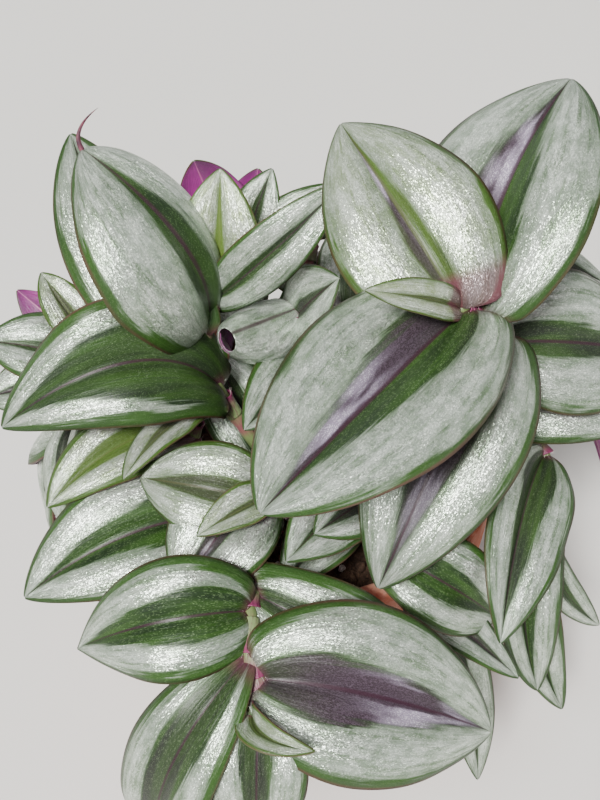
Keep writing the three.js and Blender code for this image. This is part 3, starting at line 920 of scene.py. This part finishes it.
def make_blades(node, path, faces, leaves):
    """All the leaves of a stem. The upper face is striped, and the under face magenta."""
    across, along = blank_places(blade_blank)
    draw = random.Random(node)
    blades = []
    for form in leaves:
        seed = draw.random()
        base = on_curve(path, form.at)
        blade = laid_out(blade_blank, blade_points(form, base, faces, across, along, seed))
        dark = drawn(draw, form.dark, 0.1, 0.6)
        green = drawn(draw, form.green, 0.4, 1.0)
        band = drawn(draw, form.band, 0.4, 1.0)
        length = np.linalg.norm(np.array(form.tip) - base)
        store_vector(blade, "growth", (form.young, dark, seed))
        store_vector(blade, "banding", (green, form.side, band))
        store_vector(blade, "span", (form.wide / 2, length, 0))
        blades.append(blade)
    piece = joined(node + "_leaves", blades)
    piece.data.materials.append(leaf_face)
    piece.data.materials.append(leaf_under)
    body = piece.modifiers.new("body", "SOLIDIFY")
    body.thickness = BLADE_THICKNESS * MM
    body.offset = 0
    body.material_offset = 1
    apply_modifiers(piece)
    return piece


def grow(node, faces, path, *leaves):
    """One leafy stem: its stalk, sheaths, hairs and leaves, in place of its CAD node. faces is
    where the upper faces of its leaves look, and path holds the four points of its curve."""
    stalk, length = make_stalk(node, path, leaves)
    pieces = [
        stalk,
        make_sheaths(node, path, leaves, length),
        make_hairs(node, path, leaves, length),
        make_blades(node, path, faces, leaves),
    ]
    for piece in pieces:
        select_only(piece)
        bpy.ops.object.shade_smooth()
        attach(piece, "root")
        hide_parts(node)


grow("leafy_stem_crown", (0, -0.6, 0.8),
     [(30, 4, 66), (36, 3, 108), (56, -5, 134), (33, -15, 147)],
     Leaf(1, (12, -30, 164), wide=9, arch=2, turn=-2, keel=34, bend=35, young=0.9, green=0.6,
          band=0.4),
     Leaf(0.99, (9, 22, 169), wide=37, arch=5, turn=-8, keel=24, point=0.85, lobe=4, young=0.5,
          dark=0.9, side=-1, green=0.4, band=0.35),
     Leaf(0.97, (-7, -68, 145), wide=41, arch=2, turn=12, bend=45, point=0.72, lobe=6, dark=1,
          side=1, green=0.3, band=0.85),
     Leaf(0.9, (60, 30, 175.4), wide=46, turn=-30, keel=26, sway=-2, point=0.75, dark=1, side=-1,
          green=0.5, band=0.8),
     Leaf(0.72, (17, -52, 99), wide=36, arch=9, turn=6, keel=22, dark=0.7, green=0.6, band=0.9),
     Leaf(0.66, (86, 5, 116), wide=36, keel=25, dark=0.2, green=0.5, band=0.6),
     Leaf(0.42, (83, -12, 112), wide=26, keel=25))


# ============================================================ the left-hand and middle stems
# Shorter stems fill the left of the pot. The highest holds a young upright leaf over two broad
# arching ones, and the middle one ends in a leaf that is still rolled up.
grow("leafy_stem_left_high", (0, -0.5, 0.86),
     [(-4, -4, 66), (-4, -8, 100), (-34, -4, 116), (-19, 10, 132)],
     Leaf(1, (-18, 20, 159), wide=21, arch=2, keel=25, bend=20, lobe=4, young=0.9, dark=0,
          green=0.5, band=0.3),
     Leaf(0.97, (10, 12, 161), wide=16, arch=2, turn=20, keel=36, bend=20, sway=1, roll_right=60,
          dark=0.2, green=0.5, band=0.5),
     Leaf(0.88, (-48, 18, 165), wide=50, arch=11, turn=28, keel=18, bend=50, sway=-1, point=0.7,
          roll_right=100, dark=0, green=0.5, band=0.4),
     Leaf(0.8, (-56, 42, 155), wide=30, arch=4, turn=-10, keel=30, bend=30, sway=-4, dark=0,
          green=0.9, band=0.8),
     Leaf(0.58, (-68, -20, 116), wide=32, arch=12, turn=-20, sway=9, face=(-0.1, -0.4, 0.9),
          wave=-3, dark=0.1, green=1.1, band=1.7),
     Leaf(0.25, (-24, 20, 104), wide=22))
DRY_TIP = [(-48, 18, 165), (-49.6, 18.6, 168), (-48, 21, 170.4), (-44.5, 24.5, 171.5)]
DRY_TIP_RADIUS = 0.62
around, along = blank_places(tube_blank)
thickness = DRY_TIP_RADIUS * (1.02 - along) ** 0.8
dry_tip = laid_out(tube_blank, round_the_stem(DRY_TIP, along, around, thickness))
dry_tip.name = "leafy_stem_left_high_dry_tip"
close_seams(dry_tip)
dry_tip.data.materials.append(grained(
    "dried_leaf_tip", roughness=0.6, specular=0.4, scale=(900, 900, 260), detail=3,
    dark=(52, 16, 36), pale=(112, 58, 72), distance=0.0002, strength=0.7))
select_only(dry_tip)
bpy.ops.object.shade_smooth()
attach(dry_tip, "root")
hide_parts("leafy_stem_left_high")

grow("leafy_stem_middle", (0, -0.5, 0.86),
     [(8, 6, 66), (6, 8, 95), (2, 8, 112), (-1, 9, 127)],
     Leaf(1, (-15.5, -4.5, 131), wide=38, arch=0, keel=0, bend=60, furl=165, point=0.2, mouth=13,
          tuck=0.16, lobe=0, dark=0, green=0.0, band=-0.5),
     Leaf(0.95, (9, 3, 141), wide=19, arch=1, keel=25, bend=30, lobe=7),
     Leaf(0.6, (-13, -18, 113), wide=20, arch=5, keel=25, bend=30))
grow("leafy_stem_left_back", (0, -0.5, 0.86),
     [(-12, 24, 66), (-14, 26, 95), (-10, 34, 112), (-17, 38, 126)],
     Leaf(1, (-27, 46, 145), wide=20, arch=4, turn=180, keel=25, bend=30),
     Leaf(0.95, (-11, 52, 139), wide=18, arch=4, turn=180, keel=25, bend=30),
     Leaf(0.9, (-7, 44, 144), wide=15, arch=2, keel=25, bend=30),
     Leaf(0.8, (8, 40, 142), wide=16, arch=4, keel=25, bend=30),
     Leaf(0.6, (-34, 30, 122)))
grow("leafy_stem_left", (-0.1, -0.4, 0.9),
     [(-28, 4, 66), (-38, 4, 92), (-50, 6, 100), (-52, 6, 121)],
     Leaf(1, (-62, 14, 134), wide=12, arch=2, keel=30, bend=20, young=0.6),
     Leaf(0.95, (-71, 20, 124), wide=14, arch=3, turn=180, keel=25),
     Leaf(0.8, (-76.8, 4, 121), wide=22, arch=5),
     Leaf(0.7, (-76.8, -6, 111), wide=22, arch=5))
grow("leafy_stem_left_trailing", (-0.7, -0.1, 0.7),
     [(-35, -5, 66), (-42, -5, 106), (-54, -2, 110), (-58, 2, 92)],
     Leaf(1, (-64, -10, 56)),
     Leaf(0.95, (-68, 22, 64), wide=26),
     Leaf(0.8, (-52, -26, 74), wide=22))
grow("leafy_stem_left_young", (-0.2, -0.5, 0.84),
     [(-24, -12, 66), (-26, -14, 92), (-28, -12, 100), (-25, -10, 109)],
     Leaf(1, (-39, -33, 113), wide=12, arch=3, turn=18, young=0.6, green=0.8, band=0.6),
     Leaf(0.8, (-58, -32, 102), wide=20, arch=5, sway=4, young=0.6, dark=0, green=1, band=0.9))


# ============================================================ the front stems
# These hang over the rim at the front and on its right, with broad leaves laid over one another
# and narrow ones that point down in front of the pot.
grow("leafy_stem_left_front", (-0.2, -0.5, 0.84),
     [(-18, -22, 66), (-20, -26, 90), (-16, -32, 98), (-7, -35, 109)],
     Leaf(1, (-22, -47, 111), wide=11, arch=2, keel=35, bend=10, young=0.6),
     Leaf(0.95, (-36, -29, 109), wide=23, arch=5, keel=25, young=0.3, green=0.7, band=0.7),
     Leaf(0.85, (-26, -52, 97), wide=26, dark=0.7),
     Leaf(0.5, (-63, -47, 88), wide=31, arch=7, sway=4, dark=0, green=0.9, band=0.95))
grow("leafy_stem_front", (0, -0.5, 0.87),
     [(-6, -30, 66), (-8, -40, 100), (-14, -54, 110), (-8, -77, 95)],
     Leaf(1, (3, -90, 101), wide=9, arch=3, keel=45, bend=0, sway=4, lobe=0, young=0.6),
     Leaf(0.94, (41, -75, 79), wide=39, bend=45, sway=-2, lobe=4, dark=1, green=0.6, band=0.9),
     Leaf(0.985, (-9, -95.8, 69), wide=22, keel=30, bend=45, lobe=0, dark=0.3, green=0.7, band=0.8),
     Leaf(0.87, (-29, -85, 43), arch=17, turn=20, bend=45, lobe=0, dark=0.3, green=0.9, band=1),
     Leaf(0.72, (-48, -62, 91), wide=27, arch=10, turn=-5, bend=45, sway=2, point=1.05, lobe=2,
          dark=0, green=1, band=1),
     Leaf(0.62, (27, -58, 69), arch=11, bend=45, lobe=4, green=1, band=0.8))
grow("leafy_stem_inner", (0, -0.5, 0.86),
     [(6, -16, 66), (10, -22, 92), (14, -26, 104), (16, -30, 102)],
     Leaf(1, (3, -45, 109), wide=17, arch=4),
     Leaf(0.5, (-4, -48, 94), wide=18, arch=3),
     Leaf(0.8, (7, -20, 112), wide=20, arch=5),
     Leaf(0.6, (-3, -50, 106), wide=20, arch=5))
grow("leafy_stem_right_front", (0.1, -0.6, 0.8),
     [(18, -26, 66), (22, -32, 104), (24, -40, 109), (19, -42, 93)],
     Leaf(0.9, (46, -47, 80), wide=22, arch=7, keel=22, bend=20, dark=0, green=0.9, band=1),
     Leaf(0.99, (50, -60, 75), wide=14, arch=1, turn=-18, keel=30, green=0.9, band=0.9),
     Leaf(0.85, (44, -68, 40), wide=16, arch=5, sway=-4, dark=0.1, green=0.6, band=0.8))
grow("leafy_stem_trailing", (0.2, -0.8, 0.6),
     [(33, -10, 66), (42, -8, 107), (72, -10, 109), (55, -24, 88)],
     Leaf(1, (69, -48, 38), wide=16, arch=4, turn=10, keel=45, sway=4, dark=0, green=1, band=1),
     Leaf(0.9, (59, -52, 55), wide=21, arch=4, turn=-6, keel=45, sway=7, dark=0, green=1, band=1),
     Leaf(0.98, (80, -30, 50), wide=10, arch=4, keel=30, sway=4, dark=0, green=0.8, band=0.9),
     Leaf(0.7, (44, -59, 88), wide=25, arch=3, sway=4, keel=42, lobe=0, dark=0.2, green=0.8, band=1))


# ============================================================ the back and right-hand stems
# Behind and to the right the stems arch outwards and down, so that the plant is as full there
# as in front. One short stem fills the middle.
grow("leafy_stem_back_left", (-0.5, 0.5, 0.7),
     [(-26, 18, 66), (-34, 26, 100), (-44, 38, 116), (-54, 50, 116)],
     Leaf(1, (-58, 74, 82), wide=20),
     Leaf(0.95, (-42, 78, 100)),
     Leaf(0.85, (-58, 42, 108), wide=20, arch=5),
     Leaf(0.7, (-30, 66, 122)),
     Leaf(0.55, (-66, 52, 76), wide=26, arch=8))
grow("leafy_stem_back_trailing", (-0.3, 0.7, 0.65),
     [(-14, 34, 66), (-18, 40, 108), (-24, 56, 114), (-30, 62, 98)],
     Leaf(1, (-34, 80, 58), wide=26),
     Leaf(0.95, (-54, 62, 62)),
     Leaf(0.85, (-12, 80, 78)),
     Leaf(0.6, (-22, 62, 124), wide=20, arch=5))
grow("leafy_stem_back", (0, 0.6, 0.8),
     [(0, 30, 66), (0, 36, 98), (2, 48, 112), (4, 62, 114)],
     Leaf(1, (4, 96, 92), wide=26),
     Leaf(0.95, (-24, 84, 96)),
     Leaf(0.85, (30, 80, 104), wide=26),
     Leaf(0.65, (6, 88, 66), wide=28, arch=8))
grow("leafy_stem_back_right", (0.4, 0.5, 0.76),
     [(28, 22, 66), (32, 28, 100), (42, 38, 124), (48, 50, 126)],
     Leaf(1, (60, 84, 110), wide=28),
     Leaf(0.95, (84, 62, 122), wide=28),
     Leaf(0.85, (30, 72, 130), wide=26),
     Leaf(0.65, (84, 36, 112), wide=28, face=(0.3, 0, 1)))
grow("leafy_stem_back_right_trailing", (0.4, 0.6, 0.7),
     [(16, 31, 66), (20, 34, 112), (34, 54, 116), (40, 60, 100)],
     Leaf(1, (42, 86, 62), wide=26),
     Leaf(0.95, (68, 62, 72)),
     Leaf(0.85, (20, 84, 76), wide=22))
grow("leafy_stem_centre", (0, 0.2, 1),
     [(18, 12, 66), (18, 12, 90), (14, 14, 104), (14, 18, 116)],
     Leaf(1, (20, 50, 126)),
     Leaf(0.9, (-6, 42, 110)),
     Leaf(0.8, (30, -16, 112)),
     Leaf(0.6, (24, -18, 94), wide=18))
grow("leafy_stem_right", (0.6, 0.2, 0.76),
     [(34, 9, 66), (40, 12, 112), (62, 18, 116), (76, 22, 96)],
     Leaf(1, (103.8, 30, 74), wide=26),
     Leaf(0.9, (96, 4, 84)),
     Leaf(0.7, (78, 56, 76), wide=26, arch=7),
     Leaf(0.5, (92, 22, 52), wide=26, arch=8))
for blank in (blade_blank, tube_blank, sheath_blank, hair_blank):
    bpy.data.objects.remove(blank)


# ============================================================ the floor, the light and the camera
# A pale floor in front of a plain backdrop. A far key light comes from beside the camera, with
# weak soft lights round the plant. The camera looks down at 45 degrees from close by.
FLOOR_SIZE = 6
CAMERA_LENS = 45
CAMERA_TILT = 45
CAMERA_TARGET_HEIGHT = 0.105
CAMERA_DISTANCE = 0.25

deselect_all()
bpy.ops.mesh.primitive_plane_add(size=FLOOR_SIZE, location=(0, 0, 0))
floor = bpy.context.object
floor.name = "floor"
paper, paper_tree, paper_shader = new_finish("floor_paper", 0.8, 0.2)
paper_clouds = noise(paper_tree, object_place(paper_tree), 3, 2)
feed(paper_tree, paper_shader.inputs["Base Color"], mix(
    paper_tree, paper_clouds, srgb(214, 212, 208), srgb(224, 222, 218)))
floor.data.materials.append(paper)

world = bpy.data.worlds.new("studio")
world.use_nodes = True
world_tree = world.node_tree
backdrop = world_tree.nodes["Background"]
backdrop.inputs["Color"].default_value = (0.92, 0.94, 0.96, 1)
ray = split(world_tree, world_tree.nodes.new("ShaderNodeTexCoord").outputs["Generated"])
feed(world_tree, backdrop.inputs["Strength"], fade(world_tree, ray["Z"], 0.16, 0.4, 0.9, 0.1))
bpy.context.scene.world = world


def add_light(kind, name, place, aim, power):
    """A light at a place that points at another. Of a far one only the direction counts."""
    lamp = bpy.data.lights.new(name, kind)
    lamp.energy = power
    holder = bpy.data.objects.new(name, lamp)
    bpy.context.collection.objects.link(holder)
    holder.location = place
    direction = np.array(aim, float) - np.array(place, float)
    yaw = math.atan2(direction[1], direction[0]) - math.pi / 2
    pitch = math.acos(-direction[2] / np.linalg.norm(direction))
    holder.rotation_euler = (pitch, 0, yaw)
    return lamp


key_light = add_light("SUN", "key_light", (-0.12, -0.28, 0.36), (0, 0, 0), 6.4)
key_light.angle = math.radians(13)
key_light.color = (1.0, 0.99, 0.96)
sky_light = add_light("SUN", "sky_light", (-0.25, 0.35, 1.0), (0, 0, 0), 0.4)
sky_light.angle = math.radians(70)
for name, place, aim, size, power in (
        ("front_light", (-0.06, -0.20, 0.32), (0, -0.03, 0.12), 0.08, 0.55),
        ("fill_light", (0.6, 0.1, 0.6), (0, 0, 0.1), 0.5, 0.7),
        ("back_light", (-0.3, 0.7, 0.6), (0, 0, 0.1), 0.6, 1.4)):
    add_light("AREA", name, place, aim, power).size = size

camera = bpy.data.objects.new("camera", bpy.data.cameras.new("camera"))
bpy.context.collection.objects.link(camera)
camera.data.lens = CAMERA_LENS
camera.data.clip_start = 0.01
tilt = math.radians(CAMERA_TILT)
camera.location = (0, -CAMERA_DISTANCE * math.cos(tilt),
                   CAMERA_TARGET_HEIGHT + CAMERA_DISTANCE * math.sin(tilt))
camera.rotation_euler = (math.pi / 2 - tilt, 0, 0)
bpy.context.scene.camera = camera
